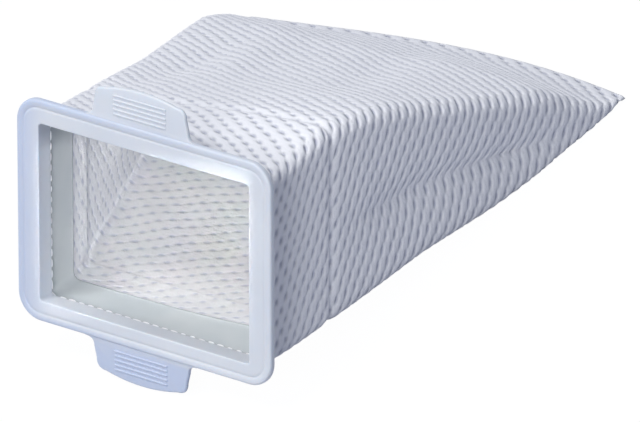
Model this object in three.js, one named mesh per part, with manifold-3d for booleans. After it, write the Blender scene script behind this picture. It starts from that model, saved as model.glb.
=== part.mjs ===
// Vacuum dust bag: an embossed cloth pouch sealed flat at its far end, on a moulded mouth frame.
// Millimetres. The pieces are drawn with the mouth upright, facing -Y, and then laid down to rest.

import * as THREE from 'three';
import { mergeVertices } from 'three/addons/utils/BufferGeometryUtils.js';
import Module from 'manifold-3d';

const wasm = await Module();
wasm.setup();

// Mouth frame
const FRAME_WIDTH = 92;
const FRAME_HEIGHT = 70;
const FRAME_CORNER = 8;
const FLANGE_THICKNESS = 2;
const FLANGE_BEVEL = 0.6;
const SIDE_LEG = 8;
const TOP_LEG = 7.4;
const BOTTOM_LEG = 6.4;
const OPENING_CORNER = 2.5;
const GROOVE_INSET = 2.2;
const GROOVE_WIDTH = 0.9;
const GROOVE_DEPTH = 0.35;
const COLLAR_WALL = 1.2;
const COLLAR_DEPTH = 4;

// Finger tabs, one above and one below the frame
const TAB_ROOT_WIDTH = 38;
const TAB_TIP_WIDTH = 30;
const TAB_HEIGHT = 11.4;
const TAB_CROWN = 1.6;
const TAB_CORNER = 3.4;
const TAB_FILLET = 3;
const TAB_THICKNESS = 1.5;
const TAB_FRONT = 0.3;
const RIB_COUNT = 5;
const RIB_PITCH = 1.45;
const RIB_WIDTH = 0.7;
const RIB_HEIGHT = 0.3;
const RIB_LENGTH = 16;
const RIB_FIRST = 2.4;

// Cloth pouch
const BAG_LENGTH = 141;
const CLOTH_WALL = 0.9;
const BAG_CORNER = 12;
const CORNER_EASE = 26;
const SEAL_WIDTH = 3;
const SEAL_THICKNESS = 1;
const CAVITY_SHORT = 3;
const SEAL_LIFT = 9.6;
const SEAL_ROLL = 4.2;
const SEAL_ARCH = 4.6;
const PANEL_CROWN = 1.8;
const CREASE_AT = 21;
const CREASE_DEPTH = 0.7;
const CREASE_WIDTH = 1.6;
const GUSSET_DEPTH = 4.5;
const EMBOSS_DEPTH = 0.3;

// Smooth band that lines the mouth behind the collar
const LINER_WALL = 0.6;
const LINER_LENGTH = 15;

// Clearance between pieces that touch
const GAP = 0.3;

// Facets
const CORNER_STEPS = 5;
const BEVEL_STEPS = 2;
const BAG_AROUND = 96;
const LINING_AROUND = 64;
const MOUTH_RINGS = 6;
const BODY_RINGS = 30;
const CAVITY_RINGS = 12;

const openingHalfWidth = FRAME_WIDTH / 2 - SIDE_LEG;
const openingHeight = FRAME_HEIGHT - TOP_LEG - BOTTOM_LEG;
const mouthMiddle = BOTTOM_LEG + openingHeight / 2;
const collarHalfWidth = openingHalfWidth + COLLAR_WALL;
const collarHalfHeight = openingHeight / 2 + COLLAR_WALL;
const mouthCorner = OPENING_CORNER + COLLAR_WALL + GAP + CLOTH_WALL;
const mouthHalfWidth = collarHalfWidth + GAP + CLOTH_WALL;
const mouthHalfHeight = collarHalfHeight + GAP + CLOTH_WALL;
const bagStart = FLANGE_THICKNESS + GAP;
const bagEnd = bagStart + BAG_LENGTH;
const taperStart = FLANGE_THICKNESS + COLLAR_DEPTH;
const taperEnd = bagEnd - SEAL_WIDTH;

// What a corner of radius 1 saves on the way round a rectangle, and what a round end costs
const CORNER_SAVING = 8 - 2 * Math.PI;
const ROUND_END_COST = 2 * Math.PI - 4;

// The cloth keeps its girth from the mouth to the seal, where half of it lies flat on the other half
const girth = 4 * (mouthHalfWidth + mouthHalfHeight) - CORNER_SAVING * mouthCorner;
const sealHalfWidth = (girth - ROUND_END_COST * (SEAL_THICKNESS / 2)) / 4;

// A closed geometry as a solid that can be joined and cut
function toSolid(geometry) {
  const bare = geometry.clone();
  bare.deleteAttribute('normal');
  bare.deleteAttribute('uv');
  const merged = mergeVertices(bare, 1e-5);
  const vertProperties = new Float32Array(merged.attributes.position.array);
  const triVerts = new Uint32Array(merged.index.array);
  return new wasm.Manifold(new wasm.Mesh({ numProp: 3, vertProperties, triVerts }));
}

// The solid back as a geometry
function toGeometry(solid) {
  const { vertProperties, triVerts } = solid.getMesh();
  const geometry = new THREE.BufferGeometry();
  geometry.setAttribute('position', new THREE.BufferAttribute(vertProperties, 3));
  geometry.setIndex(new THREE.BufferAttribute(triVerts, 1));
  geometry.computeVertexNormals();
  return geometry;
}

// A rectangle with round corners, from its middle, drawn in X and Z
function roundedRectangle(halfWidth, halfHeight, corner, middle) {
  const outline = new THREE.Shape();
  const low = middle - halfHeight;
  const high = middle + halfHeight;
  outline.moveTo(corner - halfWidth, low);
  outline.lineTo(halfWidth - corner, low);
  outline.absarc(halfWidth - corner, low + corner, corner, -Math.PI / 2, 0);
  outline.lineTo(halfWidth, high - corner);
  outline.absarc(halfWidth - corner, high - corner, corner, 0, Math.PI / 2);
  outline.lineTo(corner - halfWidth, high);
  outline.absarc(corner - halfWidth, high - corner, corner, Math.PI / 2, Math.PI);
  outline.lineTo(-halfWidth, low + corner);
  outline.absarc(corner - halfWidth, low + corner, corner, Math.PI, 1.5 * Math.PI);
  outline.closePath();
  return outline;
}

// A shape drawn in X and Z, as a plate between two depths; its bevel stays inside them
function plate(shape, front, back, bevel = 0) {
  const geometry = new THREE.ExtrudeGeometry(shape, {
    depth: back - front - 2 * bevel,
    bevelEnabled: bevel > 0,
    bevelSize: bevel,
    bevelThickness: bevel,
    bevelOffset: -bevel,
    bevelSegments: BEVEL_STEPS,
    curveSegments: CORNER_STEPS,
  });
  geometry.rotateX(Math.PI / 2);
  geometry.translate(0, back - bevel, 0);
  return toSolid(geometry);
}

// A plate round the mouth, as wide as the step between two insets from the frame's edge
function band(outerInset, innerInset, front, back) {
  const edge = (inset) => roundedRectangle(
    FRAME_WIDTH / 2 - inset,
    FRAME_HEIGHT / 2 - inset,
    FRAME_CORNER - inset,
    FRAME_HEIGHT / 2,
  );
  return plate(edge(outerInset), front, back).subtract(plate(edge(innerInset), front - GAP, back + GAP));
}

// A finger tab that stands on the line z = 0 and widens into a fillet at its root
function tabShape() {
  const root = TAB_ROOT_WIDTH / 2;
  const tip = TAB_TIP_WIDTH / 2;
  const shoulder = TAB_HEIGHT - TAB_CROWN;
  const shape = new THREE.Shape();
  shape.moveTo(-root, -TAB_FILLET);
  shape.lineTo(root, -TAB_FILLET);
  shape.lineTo(root, 0);
  shape.quadraticCurveTo(root - TAB_FILLET, 0, root - TAB_FILLET, TAB_FILLET);
  shape.lineTo(tip, shoulder - TAB_CORNER);
  shape.quadraticCurveTo(tip, shoulder, tip - TAB_CORNER, shoulder);
  shape.quadraticCurveTo(0, TAB_HEIGHT + TAB_CROWN, TAB_CORNER - tip, shoulder);
  shape.quadraticCurveTo(-tip, shoulder, -tip, shoulder - TAB_CORNER);
  shape.lineTo(TAB_FILLET - root, TAB_FILLET);
  shape.quadraticCurveTo(TAB_FILLET - root, 0, -root, 0);
  shape.closePath();
  return shape;
}

// A tab with its grip ribs, standing on z = 0
function fingerTab() {
  let tab = plate(tabShape(), TAB_FRONT, TAB_FRONT + TAB_THICKNESS, TAB_THICKNESS / 5);
  for (let i = 0; i < RIB_COUNT; i += 1) {
    const low = RIB_FIRST + i * RIB_PITCH - RIB_WIDTH / 2;
    const corners = [[-1, 0], [1, 0], [1, 1], [-1, 1]];
    const rib = new THREE.Shape(corners.map(([side, up]) => (
      new THREE.Vector2((side * RIB_LENGTH) / 2, low + up * RIB_WIDTH)
    )));
    tab = tab.add(plate(rib, TAB_FRONT - RIB_HEIGHT, TAB_FRONT + TAB_THICKNESS / 2));
  }
  return tab;
}

// Flange, collar and both finger tabs in one moulding
function mouthFrame() {
  const outline = roundedRectangle(
    FRAME_WIDTH / 2, FRAME_HEIGHT / 2, FRAME_CORNER, FRAME_HEIGHT / 2,
  );
  const collar = new THREE.Shape(Array.from({ length: LINING_AROUND }, (_, i) => {
    const corner = OPENING_CORNER + COLLAR_WALL;
    const point = pointAround(i / LINING_AROUND, collarHalfWidth, collarHalfHeight, corner);
    return new THREE.Vector2(point.x, mouthMiddle + point.z);
  }));
  const opening = roundedRectangle(
    openingHalfWidth, openingHeight / 2, OPENING_CORNER, mouthMiddle,
  );
  const upperTab = fingerTab().translate([0, 0, FRAME_HEIGHT]);
  const lowerTab = fingerTab().mirror([0, 0, 1]);
  return plate(outline, 0, FLANGE_THICKNESS, FLANGE_BEVEL)
    .add(plate(collar, FLANGE_THICKNESS / 2, FLANGE_THICKNESS + COLLAR_DEPTH))
    .add(upperTab)
    .add(lowerTab)
    .subtract(plate(opening, -FLANGE_THICKNESS, 2 * FLANGE_THICKNESS + COLLAR_DEPTH))
    .subtract(band(GROOVE_INSET, GROOVE_INSET + GROOVE_WIDTH, -GROOVE_DEPTH, GROOVE_DEPTH));
}

// How far a depth y lies along the taper, from the collar's back to the seal
function shareAlong(y) {
  return THREE.MathUtils.clamp((y - taperStart) / (taperEnd - taperStart), 0, 1);
}

// How wide, high and round the pouch is at a share t of its taper, measured at its outer face
function sectionSize(t) {
  const halfWidth = THREE.MathUtils.lerp(mouthHalfWidth, sealHalfWidth, t);
  const slack = girth - 4 * halfWidth;
  const roundEnd = slack / ROUND_END_COST;
  const eased = THREE.MathUtils.smoothstep(t * (taperEnd - taperStart), 0, CORNER_EASE);
  const corner = Math.min(THREE.MathUtils.lerp(mouthCorner, BAG_CORNER, eased), roundEnd);
  return { halfWidth, halfHeight: (slack + CORNER_SAVING * corner) / 4, corner };
}

// A point of a rounded rectangle, a share s of the way round it from the middle of its right side
function pointAround(s, halfWidth, halfHeight, corner) {
  const flatX = halfWidth - corner;
  const flatZ = halfHeight - corner;
  const arc = (Math.PI / 2) * corner;
  const quarter = flatX + flatZ + arc;
  const turn = ((s % 1) + 1) % 1;
  const quadrant = Math.floor(turn * 4);
  const along = (turn * 4 - quadrant) * quarter;
  const distance = quadrant % 2 === 0 ? along : quarter - along;
  let x = halfWidth;
  let z = distance;
  if (distance > flatZ + arc) {
    x = flatX - (distance - flatZ - arc);
    z = halfHeight;
  } else if (distance > flatZ) {
    const angle = (distance - flatZ) / corner;
    x = flatX + corner * Math.cos(angle);
    z = flatZ + corner * Math.sin(angle);
  }
  const signX = quadrant === 1 || quadrant === 2 ? -1 : 1;
  const signZ = quadrant >= 2 ? -1 : 1;
  return { x: signX * x, z: signZ * z };
}

// Where the cloth's middle line lies above the mouth's middle, across and along the pouch
function lift(t, across) {
  const rise = SEAL_LIFT * (1 - (1 - t) ** 3);
  const roll = SEAL_ROLL * across * THREE.MathUtils.smoothstep(t, 0, 0.2);
  const arch = SEAL_ARCH * t * t * (1 - across * across) * (1 + 0.45 * across);
  return rise + roll + arch;
}

// Soft valleys and ridges of the cloth: across it (share of the half width), along it, and size
const PLEATS = [
  { across: 0.5, drift: -0.5, from: 0.35, to: 1, depth: -1.3, width: 0.16 },
  { across: -0.3, drift: -0.35, from: 0.3, to: 0.95, depth: 1.1, width: 0.14 },
  { across: -0.75, drift: 0.2, from: 0.15, to: 0.8, depth: -1.2, width: 0.12 },
];

// How far the pleats move the upper and lower panels
function pleatDepth(t, across) {
  let depth = 0;
  for (const pleat of PLEATS) {
    const way = (t - pleat.from) / (pleat.to - pleat.from);
    if (way <= 0 || way >= 1) continue;
    const centre = pleat.across + pleat.drift * way;
    const offset = (across - centre) / pleat.width;
    depth += pleat.depth * Math.sin(Math.PI * way) * Math.exp(-offset * offset);
  }
  return depth;
}

// A point of the pouch, a share s round it and y behind the flange, with its face set in by inset
function clothPoint(s, y, inset, emboss = 0) {
  const t = shareAlong(y);
  const { halfWidth, halfHeight, corner } = sectionSize(t);
  const fold = (y - bagStart - CREASE_AT) / CREASE_WIDTH;
  const taper = THREE.MathUtils.smoothstep(halfHeight, SEAL_THICKNESS, 3 * SEAL_THICKNESS);
  const setIn = inset + taper * (CREASE_DEPTH * Math.exp(-fold * fold) - emboss);
  const faceWidth = halfWidth - setIn;
  const faceHeight = Math.max(halfHeight, SEAL_THICKNESS / 2 + inset) - setIn;
  const flat = pointAround(s, faceWidth, faceHeight, Math.max(corner - setIn, SEAL_THICKNESS / 5));
  const across = flat.x / faceWidth;
  const upward = flat.z / faceHeight;
  const swell = Math.sin(Math.PI * Math.sqrt(t)) * taper;
  const gusset = GUSSET_DEPTH * Math.exp(-upward * upward * 5) * Math.abs(across) ** 8 * swell;
  const crown = upward * (1 - across * across) * (PANEL_CROWN * swell);
  const pleat = upward > 0 ? pleatDepth(t, across) * taper * upward : 0;
  return new THREE.Vector3(
    flat.x - Math.sign(flat.x) * gusset,
    y,
    mouthMiddle + flat.z + crown + pleat + lift(t, across),
  );
}

// Rings of points joined to one closed skin; each end ring is closed by a strip across it
function loft(rings) {
  const count = rings[0].length;
  const positions = rings.flat().flatMap((point) => point.toArray());
  const index = [];
  for (let row = 0; row + 1 < rings.length; row += 1) {
    for (let i = 0; i < count; i += 1) {
      const a = row * count + i;
      const b = row * count + ((i + 1) % count);
      index.push(a, a + count, b, b, a + count, b + count);
    }
  }
  const close = (first, flip) => {
    for (let i = 0; i < count / 2; i += 1) {
      const a = first + i;
      const b = first + i + 1;
      const c = first + ((count - i) % count);
      const d = first + count - i - 1;
      for (const [p, q, r] of [[a, b, c], [b, d, c]]) {
        if (p !== q && q !== r && r !== p) index.push(...(flip ? [p, r, q] : [p, q, r]));
      }
    }
  };
  close(0, false);
  close((rings.length - 1) * count, true);
  const geometry = new THREE.BufferGeometry();
  geometry.setAttribute('position', new THREE.Float32BufferAttribute(positions, 3));
  geometry.setIndex(index);
  return toSolid(geometry);
}

// Depths at which the pouch has a ring, one of them on the crease
function ringDepths(from, to, bodyRings) {
  const crease = bagStart + CREASE_AT;
  const depths = [];
  for (let i = 0; i < MOUTH_RINGS; i += 1) depths.push(THREE.MathUtils.lerp(from, crease, i / MOUTH_RINGS));
  for (let i = 0; i <= bodyRings; i += 1) depths.push(THREE.MathUtils.lerp(crease, to, i / bodyRings));
  return depths;
}

// A ring of points round the pouch
function ring(y, around, inset, embossAt = () => 0) {
  return Array.from({ length: around }, (_, i) => clothPoint(i / around, y, inset, embossAt(i)));
}

// Depths of the rings inside the pouch
function cavityDepths() {
  return ringDepths(bagStart - GAP, taperEnd - CAVITY_SHORT, CAVITY_RINGS);
}

// Embossed cloth tube, open at the mouth and sealed flat at its far end
function pouch() {
  const outer = ringDepths(bagStart, bagEnd, BODY_RINGS).map((y, row) => (
    ring(y, BAG_AROUND, 0, (i) => (row > 0 && (i + row) % 2 === 0 ? EMBOSS_DEPTH : 0))
  ));
  const inner = cavityDepths().map((y) => ring(y, LINING_AROUND, CLOTH_WALL));
  return loft(outer).subtract(loft(inner));
}

// Smooth sleeve inside the cloth, between the collar and the crease
function liner() {
  const start = taperStart + GAP;
  const end = start + LINER_LENGTH;
  const between = cavityDepths().filter((y) => y > start + GAP && y < end - GAP);
  const outerInset = CLOTH_WALL + GAP;
  const skin = (from, to, inset) => loft([from, ...between, to].map((y) => ring(y, LINING_AROUND, inset)));
  return skin(start, end, outerInset).subtract(skin(start - GAP, end + GAP, outerInset + LINER_WALL));
}

// A named piece
function piece(name, solid, color, roughness) {
  const material = new THREE.MeshStandardMaterial({ color, roughness, metalness: 0 });
  const mesh = new THREE.Mesh(toGeometry(solid), material);
  mesh.name = name;
  return mesh;
}

// The part lies on the back of its lower tab and on both corners of its seal
function restingTurn() {
  const tab = new THREE.Vector3(0, TAB_FRONT + TAB_THICKNESS, -TAB_HEIGHT);
  const left = new THREE.Vector3(-sealHalfWidth, bagEnd, mouthMiddle + lift(1, -1));
  const right = new THREE.Vector3(sealHalfWidth, bagEnd, mouthMiddle + lift(1, 1));
  const up = right.clone().sub(tab).cross(left.clone().sub(tab)).normalize();
  return new THREE.Quaternion().setFromUnitVectors(up, new THREE.Vector3(0, 0, 1));
}

const group = new THREE.Group();
group.add(piece('mouth_frame', mouthFrame(), 0xd3dae6, 0.45));
group.add(piece('cloth_bag', pouch(), 0xdfe1e8, 0.9));
group.add(piece('mouth_liner', liner(), 0xd2d9dc, 0.6));

group.quaternion.copy(restingTurn());
group.updateMatrixWorld(true);
const bounds = new THREE.Box3().setFromObject(group, true);
const middle = bounds.getCenter(new THREE.Vector3());
group.position.set(-middle.x, -middle.y, -bounds.min.z);
group.updateMatrixWorld(true);

export default group;
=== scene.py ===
"""Dresses the vacuum dust bag: moulded mouth frame, embossed cloth pouch and smooth mouth liner.

The pieces are drawn in millimetres with the mouth upright, facing -Y, as the part itself is, and
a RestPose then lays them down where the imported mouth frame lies.
"""

import logging
import math
from dataclasses import dataclass, field
from enum import Enum

import bpy
import numpy as np
from bpy.types import Material, Mesh, Node, NodeSocket, Object
from mathutils import Matrix, Vector

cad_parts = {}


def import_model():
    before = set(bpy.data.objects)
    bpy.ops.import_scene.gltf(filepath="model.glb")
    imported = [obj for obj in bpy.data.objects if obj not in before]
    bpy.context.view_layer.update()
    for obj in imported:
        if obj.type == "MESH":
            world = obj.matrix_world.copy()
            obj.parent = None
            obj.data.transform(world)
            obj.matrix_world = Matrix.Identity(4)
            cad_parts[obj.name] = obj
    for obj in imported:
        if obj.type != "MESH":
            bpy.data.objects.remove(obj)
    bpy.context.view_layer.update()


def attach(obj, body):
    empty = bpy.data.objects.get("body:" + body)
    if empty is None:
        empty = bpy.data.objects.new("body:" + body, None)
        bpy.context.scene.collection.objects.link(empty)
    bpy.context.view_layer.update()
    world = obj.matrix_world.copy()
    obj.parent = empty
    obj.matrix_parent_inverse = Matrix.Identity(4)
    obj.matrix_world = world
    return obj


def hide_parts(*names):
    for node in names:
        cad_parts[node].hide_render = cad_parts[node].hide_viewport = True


LOG = logging.getLogger("dust_bag")
MM = 0.001
Triple = tuple[float, float, float]


class Slot(Enum):
    """The record's material slots."""

    FRAME = "frame_plastic"
    CLOTH = "embossed_cloth"
    LINER = "liner_film"


@dataclass(frozen=True)
class MouthSizes:
    """Sizes of the mouth frame, in millimetres."""

    width: float = 92.0
    height: float = 70.0
    corner: float = 8.0
    flange: float = 2.0
    side_leg: float = 8.0
    top_leg: float = 7.4
    bottom_leg: float = 6.4
    opening_corner: float = 1.2
    collar_wall: float = 1.2
    collar_depth: float = 4.0
    gap: float = 0.3
    back_round: float = 0.5
    front_round: float = 0.75
    rim_height: float = 0.1
    rim_width: float = 2.3
    groove_inset: float = 2.0
    groove_width: float = 1.0
    groove_depth: float = 0.2
    edge_round: float = 0.3
    margin: float = 0.4
    root: float = 0.6

    @property
    def opening_half_width(self) -> float:
        """Half the width of the clear opening."""
        return self.width / 2 - self.side_leg

    @property
    def opening_half_height(self) -> float:
        """Half the height of the clear opening."""
        return (self.height - self.top_leg - self.bottom_leg) / 2

    @property
    def middle(self) -> float:
        """Height of the opening's middle above the frame's lower edge."""
        return self.bottom_leg + self.opening_half_height

    @property
    def collar_end(self) -> float:
        """Depth of the collar's back edge behind the flange's face."""
        return self.flange + self.collar_depth


@dataclass(frozen=True)
class TabSizes:
    """Sizes of a finger tab and its grip ribs, in millimetres."""

    root_width: float = 40.6
    tip_width: float = 33.0
    off_centre: float = -1.3
    height: float = 11.4
    crown: float = 1.6
    corner: float = 3.4
    fillet: float = 3.0
    thickness: float = 1.5
    edge_share: float = 0.8
    front: float = 0.3
    rib_count: int = 5
    rib_pitch: float = 1.45
    rib_width: float = 0.7
    rib_length: float = 19.0
    rib_first: float = 2.4
    rib_sink: float = 0.02


@dataclass(frozen=True)
class Pleat:
    """A soft valley or ridge of the upper panel, as shares of its width and length."""

    across: float
    drift: float
    start: float
    end: float
    depth: float
    width: float


@dataclass(frozen=True)
class ClothSizes:
    """Sizes of the pouch, in millimetres."""

    length: float = 141.0
    wall: float = 0.9
    corner: float = 12.0
    fold_corner: float = 4.6
    fold_share: float = 0.6
    corner_ease: float = 26.0
    seal_width: float = 3.0
    seal_thickness: float = 1.0
    cavity_short: float = 3.0
    seal_lift: float = 9.6
    seal_roll: float = 4.2
    seal_arch: float = 4.6
    seal_arch_lean: float = 0.45
    roll_ease: float = 0.2
    rise_power: int = 3
    crown: float = 1.2
    crease_at: float = 28.0
    crease_depth: float = 0.9
    crease_width: float = 1.1
    gusset_depth: float = 3.9
    gusset_low: float = -0.1
    gusset_width: float = 0.24
    gusset_power: int = 8
    gusset_grows: tuple[float, float] = (0.18, 0.45)
    gusset_fades: tuple[float, float] = (0.66, 0.92)
    sag: float = 3.7
    sag_power: float = 0.7
    twist: float = 4.4
    twist_power: int = 3
    shoulder: float = 6.0
    shoulder_grows: tuple[float, float] = (0.0, 0.4)
    shoulder_fades: tuple[float, float] = (0.78, 1.0)
    shoulder_reach: float = -0.5
    puff: float = 1.4
    puff_end: float = 0.45
    pleats: tuple[Pleat, ...] = (
        Pleat(0.5, -0.5, 0.35, 1.0, -1.3, 0.16),
        Pleat(-0.3, -0.35, 0.3, 0.95, 1.1, 0.14),
        Pleat(-0.75, 0.2, 0.15, 0.8, -1.2, 0.12),
    )
    liner_wall: float = 0.6
    liner_length: float = 15.0


@dataclass(frozen=True)
class Emboss:
    """The staggered rows of short dimples that are pressed into the cloth."""

    dashes_around: int = 40
    row_pitch: float = 1.75
    depth: float = 0.62
    inner_depth: float = 0.22
    lean: float = 0.42
    sharpness: float = 4.0
    wobble: float = 0.07
    samples_around: int = 5
    samples_along: float = 4.6
    inner_samples_around: int = 5
    inner_samples_along: float = 1.5
    seal_share: float = 0.35
    mouth_ease: float = 1.0


def smoothstep(value: np.ndarray, low: float, high: float) -> np.ndarray:
    """Eases from 0 at low to 1 at high.

    Args:
        value: numbers to ease.
        low: where the ease starts.
        high: where the ease ends.

    Returns:
        The eased numbers, from 0 to 1.
    """
    t = np.clip((value - low) / (high - low), 0.0, 1.0)
    return t * t * (3.0 - 2.0 * t)


@dataclass(frozen=True)
class PouchShape:
    """The resting form of the cloth: a tube of constant girth that closes to a flat seal."""

    mouth: MouthSizes = field(default_factory=MouthSizes)
    cloth: ClothSizes = field(default_factory=ClothSizes)

    @property
    def half_width(self) -> float:
        """Half the width of the cloth's outer face on the collar."""
        m = self.mouth
        return m.opening_half_width + m.collar_wall + m.gap + self.cloth.wall

    @property
    def half_height(self) -> float:
        """Half the height of the cloth's outer face on the collar."""
        m = self.mouth
        return m.opening_half_height + m.collar_wall + m.gap + self.cloth.wall

    @property
    def mouth_corner(self) -> float:
        """Corner radius of the cloth's outer face on the collar."""
        m = self.mouth
        return m.opening_corner + m.collar_wall + m.gap + self.cloth.wall

    @property
    def girth(self) -> float:
        """Length of the cloth once round."""
        return 4 * (self.half_width + self.half_height) - (8 - 2 * math.pi) * self.mouth_corner

    @property
    def seal_half_width(self) -> float:
        """Half the width of the flat seal."""
        return (self.girth - (2 * math.pi - 4) * self.cloth.seal_thickness / 2) / 4

    @property
    def start(self) -> float:
        """Depth at which the cloth starts, behind the flange."""
        return self.mouth.flange + self.mouth.gap

    @property
    def end(self) -> float:
        """Depth at which the cloth ends."""
        return self.start + self.cloth.length

    @property
    def taper_end(self) -> float:
        """Depth at which the cloth has closed to the seal."""
        return self.end - self.cloth.seal_width

    def share_along(self, depth: np.ndarray) -> np.ndarray:
        """How far each depth lies along the taper, from 0 at the collar to 1 at the seal.

        Args:
            depth: depths behind the flange's face.

        Returns:
            The shares.
        """
        start = self.mouth.collar_end
        return np.clip((depth - start) / (self.taper_end - start), 0.0, 1.0)

    def lift(self, t: np.ndarray, across: np.ndarray) -> np.ndarray:
        """Height of the cloth's middle line above the mouth's middle.

        Args:
            t: share along the taper.
            across: share of the half width, from -1 to 1.

        Returns:
            The heights.
        """
        c = self.cloth
        rise = c.seal_lift * (1 - (1 - t) ** c.rise_power)
        roll = c.seal_roll * across * smoothstep(t, 0.0, c.roll_ease)
        arch = c.seal_arch * t * t * (1 - across * across) * (1 + c.seal_arch_lean * across)
        return rise + roll + arch

    def settle(self, t: np.ndarray, across: np.ndarray) -> np.ndarray:
        """How far the limp cloth sags and twists from its middle line, none at the mouth and seal.

        Args:
            t: share along the taper.
            across: share of the half width, from -1 to 1.

        Returns:
            The heights to add.
        """
        c = self.cloth
        sag = -c.sag * np.sin(math.pi * t**c.sag_power)
        return sag - c.twist * across * np.sin(math.pi * t**c.twist_power)

    def shear(self, t: np.ndarray, across: np.ndarray, upward: np.ndarray) -> np.ndarray:
        """How far the skewed section lifts its upper right and lower left folds.

        Args:
            t: share along the taper.
            across: share of the half width, from -1 to 1.
            upward: share of the half height, from -1 to 1.

        Returns:
            The heights to add.
        """
        c = self.cloth
        length = smoothstep(t, *c.shoulder_grows) * (1 - smoothstep(t, *c.shoulder_fades))
        right = smoothstep(across, c.shoulder_reach, 1.0) * (1 + upward) / 2
        left = smoothstep(-across, c.shoulder_reach, 1.0) * (1 - upward) / 2
        return c.shoulder * length * (right + left)

    def gusset(self, t: np.ndarray, across: np.ndarray, upward: np.ndarray) -> np.ndarray:
        """How far the side panels fold inwards along their middle.

        Args:
            t: share along the taper.
            across: share of the half width, from -1 to 1.
            upward: share of the half height, from -1 to 1.

        Returns:
            The inward moves.
        """
        c = self.cloth
        valley = np.exp(-np.abs(upward - c.gusset_low) / c.gusset_width)
        length = smoothstep(t, *c.gusset_grows) * (1 - smoothstep(t, *c.gusset_fades))
        return c.gusset_depth * valley * np.abs(across) ** c.gusset_power * length

    def pleat_depth(self, t: np.ndarray, across: np.ndarray) -> np.ndarray:
        """How far the pleats move the upper panel.

        Args:
            t: share along the taper.
            across: share of the half width, from -1 to 1.

        Returns:
            The heights that the pleats add.
        """
        depth = np.zeros(np.broadcast(t, across).shape)
        for pleat in self.cloth.pleats:
            way = np.clip((t - pleat.start) / (pleat.end - pleat.start), 0.0, 1.0)
            centre = pleat.across + pleat.drift * way
            offset = (across - centre) / pleat.width
            depth += pleat.depth * np.sin(math.pi * way) * np.exp(-offset * offset)
        return depth

    @staticmethod
    def outline(
        share: np.ndarray, half_width: np.ndarray, half_height: np.ndarray, corner: np.ndarray
    ) -> tuple[np.ndarray, np.ndarray]:
        """Points of rounded rectangles, by their share of the way round from the right side.

        Args:
            share: share of the way round, from 0 to 1.
            half_width: half widths.
            half_height: half heights.
            corner: corner radii.

        Returns:
            The x and z of each point.
        """
        flat_x = half_width - corner
        flat_z = half_height - corner
        arc = corner * math.pi / 2
        quarter = flat_x + flat_z + arc
        quadrant = np.floor(share * 4) % 4
        along = (share * 4 - np.floor(share * 4)) * quarter
        distance = np.where(quadrant % 2 == 0, along, quarter - along)
        angle = np.clip((distance - flat_z) / corner, 0.0, math.pi / 2)
        past = np.clip(distance - flat_z - arc, 0.0, None)
        x = flat_x + corner * np.cos(angle) - past
        z = np.minimum(distance, flat_z) + corner * np.sin(angle)
        sign_x = np.where((quadrant == 1) | (quadrant == 2), -1.0, 1.0)
        sign_z = np.where(quadrant >= 2, -1.0, 1.0)
        return sign_x * x, sign_z * z

    def points(self, share: np.ndarray, depth: np.ndarray, inset: float) -> np.ndarray:
        """Points of the cloth in the upright frame.

        Args:
            share: shares of the way round, one for each column.
            depth: depths behind the flange's face, one for each row.
            inset: how far the face lies inside the outer one.

        Returns:
            An array of rows by columns by x, y, z.
        """
        c = self.cloth
        y = depth[:, None] + np.zeros((1, len(share)))
        s = share[None, :] + np.zeros((len(depth), 1))
        t = self.share_along(y)
        half_width = self.half_width + (self.seal_half_width - self.half_width) * t
        slack = self.girth - 4 * half_width
        round_end = slack / (2 * math.pi - 4)
        eased = smoothstep(t * (self.taper_end - self.mouth.collar_end), 0.0, c.corner_ease)
        corner = np.minimum(self.mouth_corner + (c.corner - self.mouth_corner) * eased, round_end)
        half_height = (slack + (8 - 2 * math.pi) * corner) / 4
        half_height = half_height + c.puff * np.sin(math.pi * np.minimum(t / c.puff_end, 1.0))
        folded = self.mouth_corner + (c.fold_corner - self.mouth_corner) * eased
        corner = np.minimum(folded, c.fold_share * round_end)
        fold = (y - self.start - c.crease_at) / c.crease_width
        taper = smoothstep(half_height, c.seal_thickness, 3 * c.seal_thickness)
        set_in = inset + taper * c.crease_depth * np.exp(-fold * fold)
        face_width = half_width - set_in
        face_height = np.maximum(half_height, c.seal_thickness / 2 + inset) - set_in
        face_corner = np.maximum(corner - set_in, c.seal_thickness / 5)
        x, z = self.outline(s, face_width, face_height, face_corner)
        across = np.clip(x / face_width, -1.0, 1.0)
        upward = np.clip(z / face_height, -1.0, 1.0)
        swell = np.sin(math.pi * np.sqrt(t)) * taper
        gusset = self.gusset(t, across, upward) * taper
        crown = upward * (1 - across * across) * c.crown * swell
        pleat = np.where(upward > 0, self.pleat_depth(t, across) * taper * upward, 0.0)
        line = self.mouth.middle + self.lift(t, across) + self.settle(t, across)
        height = line + z + crown + pleat + self.shear(t, across, upward)
        return np.stack([x - np.sign(x) * gusset, y, height], axis=-1)


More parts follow.
